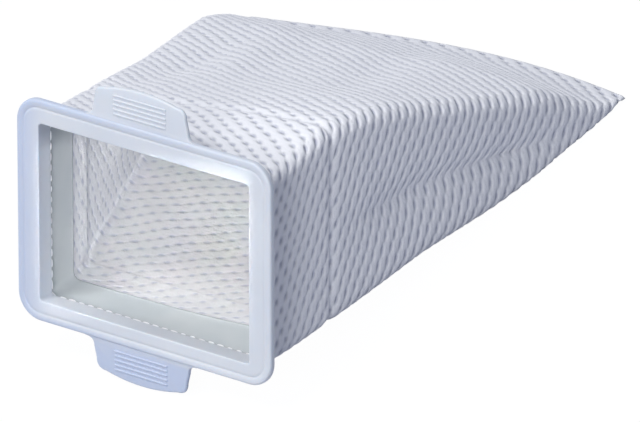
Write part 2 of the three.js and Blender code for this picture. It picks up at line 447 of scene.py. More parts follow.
@dataclass
class RestPose:
    """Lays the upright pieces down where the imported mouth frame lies."""

    shape: PouchShape
    tab: TabSizes
    press_ease: float = 0.001
    turn: Matrix = field(init=False)
    shift: Vector = field(init=False)

    def __post_init__(self) -> None:
        """Works out the turn from what the part rests on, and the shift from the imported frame."""
        s = self.shape
        foot = Vector((0.0, self.tab.front + self.tab.thickness, -self.tab.height))
        one = np.array(1.0)
        low = s.mouth.middle
        left = Vector((-s.seal_half_width, s.end, low + float(s.lift(one, -one))))
        right = Vector((s.seal_half_width, s.end, low + float(s.lift(one, one))))
        up = (right - foot).cross(left - foot).normalized()
        self.turn = up.rotation_difference(Vector((0.0, 0.0, 1.0))).to_matrix()
        corners = frame_corners(self.turn)
        upright_low = Vector((-s.mouth.width / 2, 0.0, -self.tab.height)) * MM
        self.shift = self.turn @ (corners - upright_low)

    def place(self, points: np.ndarray) -> np.ndarray:
        """Moves upright points in millimetres to their resting place in metres.

        Args:
            points: an array whose last axis is x, y, z.

        Returns:
            The array in the part's own frame.
        """
        turn = np.array(self.turn)
        return points @ turn.T * MM + np.array(self.shift)

    def rest_on_floor(self, points: np.ndarray, layer: float) -> np.ndarray:
        """Presses what would sink through the floor flat against it.

        Args:
            points: points in metres.
            layer: how far over the floor this face of the cloth lies, in millimetres.

        Returns:
            The points, none of them under the floor.
        """
        over = points[..., 2] - layer * MM
        eased = (over + np.sqrt(over * over + self.press_ease**2)) / 2
        return np.concatenate([points[..., :2], (eased + layer * MM)[..., None]], axis=-1)

    def direction(self, upright: Vector) -> Vector:
        """Turns a direction of the upright frame to the resting one.

        Args:
            upright: the direction with the mouth upright.

        Returns:
            The direction in the part's own frame.
        """
        return self.turn @ upright


def vertex_points(mesh: Mesh) -> np.ndarray:
    """The places of a mesh's vertices.

    Args:
        mesh: the mesh.

    Returns:
        An array of vertices by x, y, z.
    """
    flat = np.zeros(len(mesh.vertices) * 3)
    mesh.vertices.foreach_get("co", flat)
    return flat.reshape(-1, 3)


def store(mesh: Mesh, name: str, values: np.ndarray) -> None:
    """Stores a number on each vertex.

    Args:
        mesh: the mesh.
        name: the attribute's name.
        values: one number for each vertex.
    """
    mesh.attributes.new(name, "FLOAT", "POINT").data.foreach_set("value", values)


def shade_smooth(mesh: Mesh) -> None:
    """Shades every face smooth.

    Args:
        mesh: the mesh.
    """
    mesh.polygons.foreach_set("use_smooth", [True] * len(mesh.polygons))


def add_object(name: str, data: bpy.types.ID) -> Object:
    """Makes an object and links it to the scene.

    Args:
        name: its name.
        data: its mesh, lamp or camera.

    Returns:
        The object.
    """
    obj = bpy.data.objects.new(name, data)
    bpy.context.scene.collection.objects.link(obj)
    return obj


def frame_corners(turn: Matrix) -> Vector:
    """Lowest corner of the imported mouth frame, measured along the upright axes.

    Args:
        turn: the turn from the upright frame to the resting one.

    Returns:
        The corner, in metres along the upright axes.
    """
    upright = vertex_points(bpy.data.objects["mouth_frame"].data) @ np.array(turn)
    return Vector(upright.min(axis=0))


class NodeTree:
    """A short way to write the node tree of a material or a world."""

    def __init__(self, owner: bpy.types.ID) -> None:
        """Clears the tree.

        Args:
            owner: the material or world to build.
        """
        owner.use_nodes = True
        self.tree = owner.node_tree
        self.tree.nodes.clear()

    def add(self, kind: str, inputs: dict | None = None, **settings: object) -> Node:
        """Adds a node.

        Args:
            kind: the node's type.
            inputs: values or sockets for its inputs, by name or index.
            settings: the node's own attributes.

        Returns:
            The node.
        """
        node = self.tree.nodes.new(kind)
        for name, value in settings.items():
            setattr(node, name, value)
        for key, value in (inputs or {}).items():
            if isinstance(value, NodeSocket):
                self.tree.links.new(value, node.inputs[key])
            else:
                node.inputs[key].default_value = value
        return node

    def math(self, operation: str, first: object, second: object = 0.0) -> NodeSocket:
        """Adds a math node.

        Args:
            operation: what it does.
            first: its first value or socket.
            second: its second value or socket.

        Returns:
            The result's socket.
        """
        return self.add("ShaderNodeMath", {0: first, 1: second}, operation=operation).outputs[0]

    def noise(self, scale: float, detail: float, **others: float) -> NodeSocket:
        """Adds a noise over the object's own coordinates.

        Args:
            scale: its scale.
            detail: its detail.
            others: values for its other inputs.

        Returns:
            The noise's socket.
        """
        place = self.add("ShaderNodeTexCoord").outputs["Object"]
        inputs = {"Vector": place, "Scale": scale, "Detail": detail, **others}
        return self.add("ShaderNodeTexNoise", inputs).outputs[0]

    def between(self, share: NodeSocket, low: float, high: float) -> NodeSocket:
        """Adds a blend of two numbers.

        Args:
            share: what drives it, from 0 to 1.
            low: the result at 0.
            high: the result at 1.

        Returns:
            The result's socket.
        """
        inputs = {"Value": share, "To Min": low, "To Max": high}
        return self.add("ShaderNodeMapRange", inputs).outputs[0]

    def seen(self) -> NodeSocket:
        """Adds a switch for what the camera sees, straight or by glossy or clear surfaces.

        Returns:
            A socket that is 1 where it is seen.
        """
        path = self.add("ShaderNodeLightPath").outputs
        either = self.math("MAXIMUM", path["Is Camera Ray"], path["Is Glossy Ray"])
        return self.math("MAXIMUM", either, path["Is Transmission Ray"])

    def ramp(
        self, factor: NodeSocket, stops: list[tuple[float, tuple]]
    ) -> NodeSocket:
        """Adds a colour ramp.

        Args:
            factor: what drives it.
            stops: places and colours.

        Returns:
            The colour's socket.
        """
        node = self.add("ShaderNodeValToRGB", {0: factor})
        elements = node.color_ramp.elements
        while len(elements) < len(stops):
            elements.new(0.5)
        for element, (place, colour) in zip(elements, stops):
            element.position = place
            element.color = (*colour, 1.0)
        return node.outputs[0]

    def finish(self, shader: Node) -> None:
        """Links a shader to the material's output.

        Args:
            shader: the last shader.
        """
        self.add("ShaderNodeOutputMaterial", {"Surface": shader.outputs[0]})


class GeometryTree(NodeTree):
    """A Geometry Nodes group that repeats a shape, with a named input for each size."""

    def __init__(self, name: str, sizes: dict[str, str]) -> None:
        """Makes the group and its sockets.

        Args:
            name: the group's name.
            sizes: Int or Float for each named input.
        """
        self.tree = bpy.data.node_groups.new(name, "GeometryNodeTree")
        sockets = self.tree.interface
        for label, kind in {"Geometry": "Geometry", **sizes}.items():
            sockets.new_socket(label, in_out="INPUT", socket_type=f"NodeSocket{kind}")
        sockets.new_socket("Geometry", in_out="OUTPUT", socket_type="NodeSocketGeometry")
        self.given = self.add("NodeGroupInput").outputs

    def repeat(
        self,
        points: NodeSocket,
        shape: NodeSocket,
        material: Material,
        **placing: NodeSocket,
    ) -> bpy.types.NodeTree:
        """Puts a copy of a shape on each point, dresses the copies and ends the tree.

        Args:
            points: where the copies go.
            shape: what is copied.
            material: the copies' finish.
            placing: their rotation and scale.

        Returns:
            The node group.
        """
        inputs = {"Points": points, "Instance": shape, **placing}
        copies = self.add("GeometryNodeInstanceOnPoints", inputs)
        real = self.add("GeometryNodeRealizeInstances", {0: copies.outputs[0]})
        inputs = {"Geometry": real.outputs[0], "Material": material}
        dress = self.add("GeometryNodeSetMaterial", inputs)
        self.add("NodeGroupOutput", {0: dress.outputs[0]})
        return self.tree


def linear(red: int, green: int, blue: int) -> tuple[float, float, float]:
    """Turns a screen colour, 0 to 255, to a linear one.

    Args:
        red: red.
        green: green.
        blue: blue.

    Returns:
        The linear colour.
    """
    def channel(value: int) -> float:
        """Undoes the screen's curve for one channel."""
        share = value / 255
        return share / 12.92 if share <= 0.04045 else ((share + 0.055) / 1.055) ** 2.4

    return channel(red), channel(green), channel(blue)


@dataclass(frozen=True)
class MilkyPlastic:
    """Milky, slightly see-through moulded plastic with a satin skin, bluer where it is thin, with a
    darker blue painted shade along its rim and left side.
    """

    name: str = "milky_plastic"
    light: Triple = linear(214, 218, 223)
    deep: Triple = linear(206, 211, 218)
    # Darker blue of thin plastic, also used as painted shade on the rim and left side.
    thin_and_shade: Triple = linear(190, 200, 220)
    roughness: float = 0.34
    unevenness: float = 0.14
    cloud: float = 38.0
    grain: float = 900.0

    def build(self) -> Material:
        """Builds the material.

        Returns:
            The material.
        """
        material = bpy.data.materials.new(self.name)
        tree = NodeTree(material)
        cloud = tree.noise(self.cloud, 3.0)
        grain = tree.noise(self.grain, 2.0)
        backed = tree.ramp(cloud, [(0.3, self.deep), (0.7, self.light)])
        # Mixes in the darker blue by the stored weight: thin rim, painted shade heaviest on the
        # left, and the lower tab.
        thin_and_shade = tree.add("ShaderNodeAttribute", attribute_name="thin_and_shade").outputs["Fac"]
        inputs = {0: thin_and_shade, 6: backed, 7: (*self.thin_and_shade, 1.0)}
        colour = tree.add("ShaderNodeMix", inputs, data_type="RGBA").outputs[2]
        bump = tree.add("ShaderNodeBump", {"Strength": 0.05, "Distance": 0.0003, "Height": grain})
        inputs = {0: cloud, 1: self.unevenness, 2: self.roughness - self.unevenness / 2}
        rough = tree.add("ShaderNodeMath", inputs, operation="MULTIPLY_ADD").outputs[0]
        shader = tree.add("ShaderNodeBsdfPrincipled", {
            "Base Color": colour,
            "Roughness": rough,
            "IOR": 1.5,
            "Specular IOR Level": 0.4,
            "Subsurface Weight": 0.35,
            "Subsurface Radius": (0.6, 0.8, 1.0),
            "Subsurface Scale": 0.0022,
            "Normal": bump.outputs[0],
        })
        tree.finish(shader)
        return material


@dataclass(frozen=True)
class EmbossedCloth:
    """White nonwoven cloth with dimpled relief, painted shade greying the dimples, and short matted
    fibres.
    """

    name: str = "embossed_cloth"
    crest: Triple = linear(241, 242, 246)
    # Greyer blue painted into the dimples as their shade.
    dimple_shade: Triple = linear(206, 209, 222)
    roughness: float = 0.88
    see_through: float = 0.003
    fibre: float = 1700.0
    mottle: float = 210.0
    relief_share: tuple[float, float] = (0.9, 0.4)
    glow: tuple[float, float] = (0.08, 1.0)
    emboss: Emboss = field(default_factory=Emboss)

    def build(self) -> Material:
        """Builds the material. The relief follows the UV map, whose unit is one dash by one row.

        Returns:
            The material.
        """
        material = bpy.data.materials.new(self.name)
        tree = NodeTree(material)
        fibre = tree.noise(self.fibre, 4.0, Roughness=0.7)
        mottle = tree.math("SUBTRACT", tree.noise(self.mottle, 3.0), 0.5)
        relief = self.relief(tree)
        inside = tree.add("ShaderNodeAttribute", attribute_name="inside").outputs["Fac"]
        shade = tree.math("ADD", relief, tree.math("MULTIPLY", mottle, 0.8))
        # The colour runs from the painted dimple shade to the crest, with the mottle.
        colour = tree.ramp(shade, [(0.1, self.dimple_shade), (0.75, self.crest)])
        pressed = tree.math("MULTIPLY", relief, tree.between(inside, *self.relief_share))
        height = tree.math("ADD", pressed, tree.math("MULTIPLY", fibre, 0.3))
        glow = tree.between(inside, *self.glow)
        bump = tree.add("ShaderNodeBump", {"Strength": 1.0, "Distance": 0.0008, "Height": height})
        shader = tree.add("ShaderNodeBsdfPrincipled", {
            "Base Color": colour,
            "Roughness": self.roughness,
            "Specular IOR Level": 0.2,
            "Subsurface Weight": glow,
            "Subsurface Radius": (1.0, 1.0, 1.05),
            "Subsurface Scale": self.see_through,
            "Normal": bump.outputs[0],
        })
        tree.finish(shader)
        return material

    def relief(self, tree: NodeTree) -> NodeSocket:
        """The height of the pressed cloth from the UV map.

        Args:
            tree: the tree to add to.

        Returns:
            The height, from 0 in a dimple to 1 on a crest.
        """
        uv = tree.add("ShaderNodeUVMap", uv_map="cloth").outputs[0]
        parts = tree.add("ShaderNodeSeparateXYZ", {0: uv})
        around = tree.math("MULTIPLY", parts.outputs[0], 2 * math.pi)
        along = tree.math("MULTIPLY", parts.outputs[1], math.pi)
        even = tree.math("MULTIPLY", tree.math("COSINE", around), tree.math("COSINE", along))
        odd = tree.math("MULTIPLY", tree.math("SINE", around), tree.math("SINE", along))
        wave = tree.math("ADD", even, tree.math("MULTIPLY", odd, self.emboss.lean))
        low = tree.math("MULTIPLY", tree.math("SUBTRACT", 1.0, wave), 0.5)
        return tree.math("SUBTRACT", 1.0, tree.math("POWER", low, self.emboss.sharpness))


@dataclass(frozen=True)
class SatinLiner:
    """Smooth, faintly cloudy liner sheet."""

    name: str = "satin_liner"
    light: Triple = linear(243, 248, 247)
    deep: Triple = linear(230, 237, 238)
    cloud: float = 60.0
    crinkle: float = 240.0
    alpha: float = 0.5

    def build(self) -> Material:
        """Builds the material.

        Returns:
            The material.
        """
        material = bpy.data.materials.new(self.name)
        tree = NodeTree(material)
        cloud = tree.noise(self.cloud, 2.0)
        crinkle = tree.noise(self.crinkle, 2.0)
        colour = tree.ramp(cloud, [(0.35, self.deep), (0.7, self.light)])
        bump = tree.add("ShaderNodeBump", {"Strength": 0.12, "Distance": 0.0004, "Height": crinkle})
        shader = tree.add("ShaderNodeBsdfPrincipled", {
            "Base Color": colour,
            "Roughness": 0.5,
            "Specular IOR Level": 0.35,
            "Alpha": self.alpha,
            "Normal": bump.outputs[0],
        })
        tree.finish(shader)
        return material


def mesh_object(name: str, points: np.ndarray, faces: list, material: Material) -> Object:
    """Makes a smooth-shaded mesh object at the origin.

    Args:
        name: the piece's name.
        points: vertices in metres.
        faces: tuples of vertex indices.
        material: the finish.

    Returns:
        The object, linked to the scene.
    """
    mesh = bpy.data.meshes.new(name)
    mesh.from_pydata(points.tolist(), [], faces)
    mesh.materials.append(material)
    mesh.update()
    shade_smooth(mesh)
    return add_object(name, mesh)


def turns(steps: int, stop: float, start: float = 0.0) -> list[float]:
    """Evenly spaced angles.

    Args:
        steps: how many.
        stop: the last, in degrees.
        start: the first, in degrees.

    Returns:
        The angles in radians.
    """
    return [math.radians(angle) for angle in np.linspace(start, stop, steps)]


def grid_faces(rows: int, columns: int, first: int = 0, flip: bool = False) -> list[tuple]:
    """Quads of a grid that closes round its columns.

    Args:
        rows: number of rings.
        columns: points in a ring.
        first: index of the grid's first vertex.
        flip: whether the faces point inwards.

    Returns:
        The quads.
    """
    faces = []
    for row in range(rows - 1):
        base = first + row * columns
        for i in range(columns):
            j = (i + 1) % columns
            quad = (base + i, base + columns + i, base + columns + j, base + j)
            faces.append(quad[::-1] if flip else quad)
    return faces


def ring_points(rings: list[tuple[np.ndarray, float]]) -> np.ndarray:
    """Upright points of outlines that stand at given depths.

    Args:
        rings: each outline by x, z, and its depth.

    Returns:
        An array of rings by points by x, y, z.
    """
    return np.array([[(x, depth, z) for x, z in outline] for outline, depth in rings])


def bridge(first: list[int], second: list[int]) -> list[tuple]:
    """Faces between two closed rings whose counts differ by a whole factor.

    Args:
        first: the finer ring.
        second: the coarser ring.

    Returns:
        The faces.
    """
    factor = len(first) // len(second)
    faces = []
    for i, here in enumerate(second):
        ahead = second[(i + 1) % len(second)]
        fine = [first[(i * factor + k) % len(first)] for k in range(factor + 1)]
        faces.append((here, *fine, ahead))
    return faces


def close_flat(ring: list[int], flip: bool) -> list[tuple]:
    """Closes a flattened ring by quads between its upper and lower halves.

    Args:
        ring: vertex indices from the middle of the right side.
        flip: whether the faces point the other way.

    Returns:
        The faces.
    """
    count = len(ring)
    faces = []
    for i in range(count // 2):
        quad = [ring[i], ring[i + 1], ring[count - i - 1], ring[(count - i) % count]]
        face = tuple(dict.fromkeys(quad))
        faces.append(face[::-1] if flip else face)
    return faces


@dataclass
class ClothBag:
    """The embossed pouch: a fine outer face, a plainer inner face and a flat seal."""

    shape: PouchShape
    emboss: Emboss
    pose: RestPose

    def pattern(self, share: np.ndarray, depth: np.ndarray) -> np.ndarray:
        """Places on the cloth in dashes round it and rows along it, a little uneven as pressed.

        Args:
            share: shares of the way round, one for each column.
            depth: depths behind the flange's face, one for each row.

        Returns:
            An array of rows by columns by dashes, rows.
        """
        around = share[None, :] * self.emboss.dashes_around + np.zeros((len(depth), 1))
        rows = (depth[:, None] - self.shape.start) / self.emboss.row_pitch
        along = rows + np.zeros((1, len(share)))
        drift = np.sin(2 * math.pi * along / 13) + np.sin(2 * math.pi * (around / 5 + along / 9))
        return np.stack([around + self.emboss.wobble * drift, along], axis=-1)

    def relief(self, pattern: np.ndarray) -> np.ndarray:
        """Height of the pressed cloth.

        Args:
            pattern: places in dashes round it and rows along it.

        Returns:
            Heights from 0 in a dimple to 1 on a crest.
        """
        around, along = pattern[..., 0] * 2 * math.pi, pattern[..., 1] * math.pi
        wave = np.cos(around) * np.cos(along) + self.emboss.lean * np.sin(around) * np.sin(along)
        return 1 - ((1 - wave) / 2) ** self.emboss.sharpness

    @staticmethod
    def normals(grid: np.ndarray) -> np.ndarray:
        """Outward normals of a grid that closes round its columns.

        Args:
            grid: rows by columns by x, y, z.

        Returns:
            Unit normals of the same shape.
        """
        along = np.gradient(grid, axis=0)
        around = np.roll(grid, -1, axis=1) - np.roll(grid, 1, axis=1)
        normal = np.cross(along, around)
        return normal / np.maximum(np.linalg.norm(normal, axis=-1, keepdims=True), 1e-9)

    def skin(
        self, columns: int, step: float, end: float, inset: float, height: float
    ) -> tuple[np.ndarray, np.ndarray]:
        """One pressed face of the cloth.

        Args:
            columns: points round it.
            step: distance between its rings.
            end: depth of its last ring.
            inset: how far it lies inside the outer face.
            height: how deep its dimples are.

        Returns:
            Its points in millimetres and its UVs, both as rows by columns.
        """
        share = np.arange(columns) / columns
        depth = np.linspace(self.shape.start, end, round((end - self.shape.start) / step) + 1)
        smooth = self.shape.points(share, depth, inset)
        pattern = self.pattern(share, depth)
        near_end = smoothstep(self.shape.end - depth, 0.0, self.shape.cloth.seal_width)
        near_mouth = smoothstep(depth - self.shape.start, 0.0, self.emboss.mouth_ease)
        least = self.emboss.seal_share
        strength = (height * (least + (1 - least) * near_end) * near_mouth)[:, None]
        drop = (self.relief(pattern) - 1.0) * strength
        return smooth + self.normals(smooth) * drop[..., None], pattern

    def build(self, material: Material) -> Object:
        """Builds the pouch.

        Args:
            material: the cloth's finish.

        Returns:
            The object.
        """
        e, cloth = self.emboss, self.shape.cloth
        outer, outer_uv = self.skin(
            e.dashes_around * e.samples_around,
            e.row_pitch / e.samples_along,
            self.shape.end,
            0.0,
            e.depth,
        )
        inner, inner_uv = self.skin(
            e.dashes_around * e.inner_samples_around,
            e.row_pitch / e.inner_samples_along,
            self.shape.taper_end - cloth.cavity_short,
            cloth.wall,
            e.inner_depth,
        )
        rows, columns = outer.shape[:2]
        inner_rows, inner_columns = inner.shape[:2]
        first_inner = rows * columns
        faces = grid_faces(rows, columns)
        faces += close_flat(list(range((rows - 1) * columns, rows * columns)), flip=True)
        faces += grid_faces(inner_rows, inner_columns, first_inner, flip=True)
        last_inner = first_inner + (inner_rows - 1) * inner_columns
        faces += close_flat(list(range(last_inner, last_inner + inner_columns)), flip=False)
        faces += bridge(list(range(columns)), list(range(first_inner, first_inner + inner_columns)))
        placed = [
            self.pose.rest_on_floor(self.pose.place(skin.reshape(-1, 3)), layer)
            for skin, layer in ((outer, 0.0), (inner, cloth.wall))
        ]
        points = np.vstack(placed)
        obj = mesh_object("cloth_bag_dressed", points, faces, material)
        inside = np.repeat([0.0, 1.0], [first_inner, len(points) - first_inner])
        store(obj.data, "inside", inside)
        self.unwrap(obj.data, np.vstack([outer_uv.reshape(-1, 2), inner_uv.reshape(-1, 2)]))
        return obj

    def unwrap(self, mesh: Mesh, uv: np.ndarray) -> None:
        """Writes the UV map, whose unit is one dash by one row.

        Args:
            mesh: the mesh.
            uv: the place of each vertex.
        """
        loops = np.zeros(len(mesh.loops), dtype=int)
        mesh.loops.foreach_get("vertex_index", loops)
        corner_uv = uv[loops]
        starts = np.zeros(len(mesh.polygons), dtype=int)
        totals = np.zeros(len(mesh.polygons), dtype=int)
        mesh.polygons.foreach_get("loop_start", starts)
        mesh.polygons.foreach_get("loop_total", totals)
        highest = np.repeat(np.maximum.reduceat(corner_uv[:, 0], starts), totals)
        wrap = highest - corner_uv[:, 0] > self.emboss.dashes_around / 2
        corner_uv[wrap, 0] += self.emboss.dashes_around
        mesh.uv_layers.new(name="cloth").data.foreach_set("uv", corner_uv.ravel())


@dataclass
class MouthLiner:
    """The smooth sleeve that lines the mouth behind the collar."""

    shape: PouchShape
    pose: RestPose
    columns: int = 240
    rows: int = 24

    def build(self, material: Material) -> Object:
        """Builds the sleeve.

        Args:
            material: the liner's finish.

        Returns:
            The object.
        """
        cloth = self.shape.cloth
        start = self.shape.mouth.collar_end + self.shape.mouth.gap
        depth = np.linspace(start, start + cloth.liner_length, self.rows)
        share = np.arange(self.columns) / self.columns
        outset = cloth.wall + self.shape.mouth.gap
        outer = self.shape.points(share, depth, outset)
        inner = self.shape.points(share, depth, outset + cloth.liner_wall)
        count = self.rows * self.columns
        faces = grid_faces(self.rows, self.columns)
        faces += grid_faces(self.rows, self.columns, count, flip=True)
        faces += bridge(list(range(self.columns)), list(range(count, count + self.columns)))
        back = count - self.columns
        faces += [
            face[::-1]
            for face in bridge(list(range(back, count)), list(range(count + back, 2 * count)))
        ]
        points = np.vstack([outer.reshape(-1, 3), inner.reshape(-1, 3)])
        return mesh_object("mouth_liner_dressed", self.pose.place(points), faces, material)


@dataclass
class MouthFrame:
    """The moulded frame: a dished flange with a raised rim, a collar, and two finger tabs."""

    mouth: MouthSizes
    tab: TabSizes
    pose: RestPose
    corner_steps: int = 14
    side_steps: int = 24
    sharp_angle: float = 38.0
    # The rim band's weight of darker blue, for thin plastic and painted shade.
    rim_thin_and_shade: float = 0.5
    # How much more painted shade the rim gets towards the left.
    rim_shade_to_left: float = 0.9
    # Painted shade laid over the left leg, across this share of the width.
    left_leg_shade: float = 0.8
    left_leg_shade_range: tuple[float, float] = (0.38, 0.48)
    tab_ease: float = 2.0

    def ring(
        self, half_width: float, half_height: float, corner: float, middle: float
    ) -> np.ndarray:
        """Points of a rounded rectangle, as many on each corner and side as on any other.

        Args:
            half_width: half its width.
            half_height: half its height.
            corner: its corner radius.
            middle: the height of its middle.

        Returns:
            Points by x, z, turning left as seen from the front.
        """
        flat_x, flat_z = half_width - corner, half_height - corner
        points = []
        for k, (sx, sz) in enumerate(((1, -1), (1, 1), (-1, 1), (-1, -1))):
            for step in range(self.corner_steps + 1):
                angle = (k - 1 + step / self.corner_steps) * math.pi / 2
                x = sx * flat_x + corner * math.cos(angle)
                z = sz * flat_z + corner * math.sin(angle)
                points.append((x, middle + z))
            nx, nz = ((1, 1), (-1, 1), (-1, -1), (1, -1))[k]
            last = np.array(points[-1])
            angle = k * math.pi / 2
            following = np.array((
                nx * flat_x + corner * math.cos(angle),
                middle + nz * flat_z + corner * math.sin(angle),
            ))
            for step in range(1, self.side_steps):
                points.append(tuple(last + (following - last) * step / self.side_steps))
        return np.array(points)

    def outer_ring(self, inset: float) -> np.ndarray:
        """The frame's outline, set in.

        Args:
            inset: how far.

        Returns:
            Points by x, z.
        """
        m = self.mouth
        return self.ring(m.width / 2 - inset, m.height / 2 - inset, m.corner - inset, m.height / 2)

    def inner_ring(self, outset: float) -> np.ndarray:
        """The opening's outline, set out.

        Args:
            outset: how far.

        Returns:
            Points by x, z.
        """
        m = self.mouth
        return self.ring(
            m.opening_half_width + outset,
            m.opening_half_height + outset,
            m.opening_corner + outset,
            m.middle,
        )

    def section(self) -> list[tuple[np.ndarray, float]]:
        """The flange and collar, once round their section from the outer back edge.

        Returns:
            Each ring by x, z, and its depth.
        """
        m = self.mouth
        rings = []
        for turn in turns(6, 90):
            inset = m.back_round * (1 - math.sin(turn))
            depth = m.flange - m.back_round * (1 - math.cos(turn))
            rings.append((self.outer_ring(inset), depth))
        for turn in turns(8, 90):
            inset = m.front_round * (1 - math.cos(turn))
            depth = m.front_round * (1 - math.sin(turn)) - m.rim_height
            rings.append((self.outer_ring(inset), depth))
        groove = m.groove_inset + m.groove_width / 2
        for share in np.linspace(-1, 1, 7):
            depth = m.groove_depth * math.cos(share * math.pi / 2) - m.rim_height * (1 - share) / 2
            rings.append((self.outer_ring(groove + share * m.groove_width / 2), depth))
        rings.append((self.outer_ring(m.groove_inset + m.groove_width + m.margin), 0.0))
        rings.append((self.inner_ring(m.edge_round + m.root), 0.0))
        for turn in turns(6, 90):
            inset = m.edge_round * (1 - math.sin(turn))
            rings.append((self.inner_ring(inset), m.edge_round * (1 - math.cos(turn))))
        for depth in np.linspace(m.edge_round + m.margin, m.collar_end - m.edge_round, 6):
            rings.append((self.inner_ring(0.0), depth))
        half = m.collar_wall / 2
        for turn in turns(9, 180):
            depth = m.collar_end - m.edge_round * (1 - math.sin(turn))
            rings.append((self.inner_ring(half * (1 - math.cos(turn))), depth))
        rings.append((self.inner_ring(m.collar_wall), m.flange + m.root))
        rings.append((self.inner_ring(m.collar_wall + m.root / 4), m.flange + m.root / 4))
        rings.append((self.inner_ring(m.collar_wall + m.root), m.flange))
        return rings

    def ring_object(self, material: Material) -> Object:
        """The flange and collar as one closed mesh.

        Args:
            material: the frame's finish.

        Returns:
            The object.
        """
        points = ring_points(self.section())
        rows, columns = points.shape[:2]
        faces = grid_faces(rows, columns, flip=True)
        last = (rows - 1) * columns
        for i in range(columns):
            j = (i + 1) % columns
            faces.append((last + i, last + j, j, i))
        return mesh_object("mouth_frame_ring", points.reshape(-1, 3), faces, material)

    def tab_outline(self, inset: float) -> np.ndarray:
        """The outline of a finger tab that stands on z = 0, set in from its edge.

        Args:
            inset: how far, in millimetres.

        Returns:
            Points by x, z, turning left as seen from the front.
        """
        t = self.tab
        root, tip = t.root_width / 2, t.tip_width / 2 - inset
        shoulder = t.height - t.crown - inset
        foot = root - t.fillet - inset

        def curve(a: tuple, b: tuple, c: tuple, steps: int) -> list[tuple]:
            """Points of a quadratic curve from a to c, without its end."""
            a, b, c = np.array(a), np.array(b), np.array(c)
            shares = np.arange(steps) / steps
            return [
                tuple((1 - s) ** 2 * a + 2 * s * (1 - s) * b + s * s * c)
                for s in shares
            ]

        right = [(root, -t.fillet)]
        right += curve((root, 0), (foot, 0), (foot, t.fillet), 8)
        right += [
            (foot + (tip - foot) * s, t.fillet + (shoulder - t.corner - t.fillet) * s)
            for s in np.linspace(0, 1, 5)[:-1]
        ]
        right += curve((tip, shoulder - t.corner), (tip, shoulder), (tip - t.corner, shoulder), 10)
        top = curve(
            (tip - t.corner, shoulder),
            (0, t.height + t.crown - inset),
            (t.corner - tip, shoulder),
            24,
        )
        left = [(-x, z) for x, z in reversed(right)]
        return np.array(right + top + [(t.corner - tip, shoulder)] + left)

    def tab_object(self, upward: bool, material: Material) -> Object:
        """One finger tab as a closed mesh with round edges.

        Args:
            upward: whether it stands on the top edge.
            material: the frame's finish.

        Returns:
            The object.
        """
        t = self.tab
        radius = t.thickness / 2
        rings = []
        for turn in turns(13, 90, -90):
            depth = t.front + radius + radius * math.sin(turn)
            inset = radius * (1 - math.cos(turn)) * t.edge_share
            rings.append((self.tab_outline(inset), depth))
        points = ring_points(rings)
        rows, columns = points.shape[:2]
        faces = grid_faces(rows, columns)
        faces.append(tuple(range(columns)))
        faces.append(tuple(range((rows - 1) * columns, rows * columns))[::-1])
        flat = points.reshape(-1, 3)
        flat[:, 0] += t.off_centre
        if upward:
            flat[:, 2] += self.mouth.height
        else:
            flat[:, 2] *= -1
            faces = [face[::-1] for face in faces]
        return mesh_object("tab_upper" if upward else "tab_lower", flat, faces, material)

    def rib_tree(self, material: Material) -> bpy.types.NodeTree:
        """A Geometry Nodes tree that lays grip ribs one above another.

        Args:
            material: the frame's finish.

        Returns:
            The node group, with a named input for each size.
        """
        sizes = dict.fromkeys(("Rib pitch", "Rib length", "Rib radius"), "Float")
        tree = GeometryTree("grip_ribs", {"Rib count": "Int", **sizes})
        given = tree.given
        offset = tree.add("ShaderNodeCombineXYZ", {"Z": given["Rib pitch"]}).outputs[0]
        row = tree.add("GeometryNodeMeshLine", {"Count": given["Rib count"], "Offset": offset})
        halves = [tree.math("MULTIPLY", given["Rib length"], share) for share in (-0.5, 0.5)]
        start, end = (tree.add("ShaderNodeCombineXYZ", {"X": half}) for half in halves)
        bar = tree.add(
            "GeometryNodeCurvePrimitiveLine", {"Start": start.outputs[0], "End": end.outputs[0]}
        )
        bend = tree.add("GeometryNodeResampleCurve", {"Curve": bar.outputs[0], "Count": 25})
        factor = tree.add("GeometryNodeSplineParameter").outputs["Factor"]
        from_end = tree.math("PINGPONG", factor, 0.5)
        radius = tree.add(
            "ShaderNodeMapRange",
            {"Value": from_end, "From Max": 0.06, "To Min": 0.15},
            interpolation_type="SMOOTHERSTEP",
        )
        taper = tree.add(
            "GeometryNodeSetCurveRadius", {"Curve": bend.outputs[0], "Radius": radius.outputs[0]}
        )
        circle = tree.add(
            "GeometryNodeCurvePrimitiveCircle", {"Resolution": 14, "Radius": given["Rib radius"]}
        )
        tube = tree.add(
            "GeometryNodeCurveToMesh",
            {"Curve": taper.outputs[0], "Profile Curve": circle.outputs[0], "Fill Caps": True},
        )
        return tree.repeat(row.outputs[0], tube.outputs[0], material)

    def ribs_object(self, upward: bool, material: Material) -> Object:
        """The grip ribs of one tab, made by the Geometry Nodes tree.

        Args:
            upward: whether the tab stands on the top edge.
            material: the frame's finish.

        Returns:
            The object.
        """
        t = self.tab
        holder = mesh_object("ribs_holder", np.zeros((1, 3)), [], material)
        modifier = holder.modifiers.new("ribs", "NODES")
        modifier.node_group = self.rib_tree(material)
        set_inputs(modifier, {
            "Rib count": t.rib_count,
            "Rib pitch": t.rib_pitch,
            "Rib length": t.rib_length,
            "Rib radius": t.rib_width / 2,
        })
        mesh = evaluated_mesh(holder)
        bpy.data.objects.remove(holder)
        top = self.mouth.height + t.rib_first
        lowest = -t.rib_first - (t.rib_count - 1) * t.rib_pitch
        height = top if upward else lowest
        mesh.transform(Matrix.Translation((t.off_centre, t.front + t.rib_sink, height)))
        shade_smooth(mesh)
        return add_object("ribs_upper" if upward else "ribs_lower", mesh)

